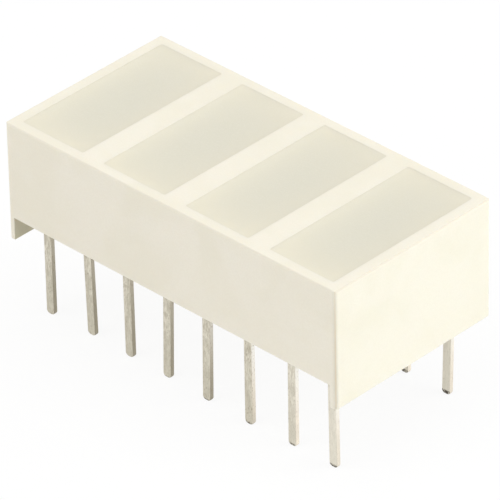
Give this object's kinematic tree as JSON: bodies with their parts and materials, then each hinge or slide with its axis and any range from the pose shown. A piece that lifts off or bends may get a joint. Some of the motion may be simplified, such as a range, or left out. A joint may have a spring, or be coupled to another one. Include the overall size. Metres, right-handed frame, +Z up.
{
  "type": "led light bar module",
  "caption": "Cream dual-in-line light bar: a moulded reflector block with a row of wide diffused windows on top, standoff end walls and two rows of flat tinned pins below.",
  "frame": {"origin": "centre of the pin grid on the seating plane, where the feet of the end walls stand on a board", "axes": "+X along the row of windows, +Y towards the back row of pins, +Z up out of the windows"},
  "size_m": [0.0202, 0.01, 0.0104],
  "materials": {
    "housing_plastic": "satin",
    "window_resin": "matte",
    "potting_resin": "satin",
    "tinned_lead": "satin",
    "chip": "satin",
    "gold_wire": "gloss"
  },
  "bodies": {
    "root": {"housing": "housing_plastic", "potting": "potting_resin", "window_1": "window_resin", "window_2": "window_resin", "window_3": "window_resin", "window_4": "window_resin", "lead_1": "tinned_lead", "lead_2": "tinned_lead", "lead_3": "tinned_lead", "lead_4": "tinned_lead", "lead_5": "tinned_lead", "lead_6": "tinned_lead", "lead_7": "tinned_lead", "lead_8": "tinned_lead", "lead_9": "tinned_lead", "lead_10": "tinned_lead", "lead_11": "tinned_lead", "lead_12": "tinned_lead", "lead_13": "tinned_lead", "lead_14": "tinned_lead", "lead_15": "tinned_lead", "lead_16": "tinned_lead", "chip_1": "chip", "chip_2": "chip", "chip_3": "chip", "chip_4": "chip", "chip_5": "chip", "chip_6": "chip", "chip_7": "chip", "chip_8": "chip", "wire_1": "gold_wire", "wire_2": "gold_wire", "wire_3": "gold_wire", "wire_4": "gold_wire", "wire_5": "gold_wire", "wire_6": "gold_wire", "wire_7": "gold_wire", "wire_8": "gold_wire"}
  },
  "joints": []
}
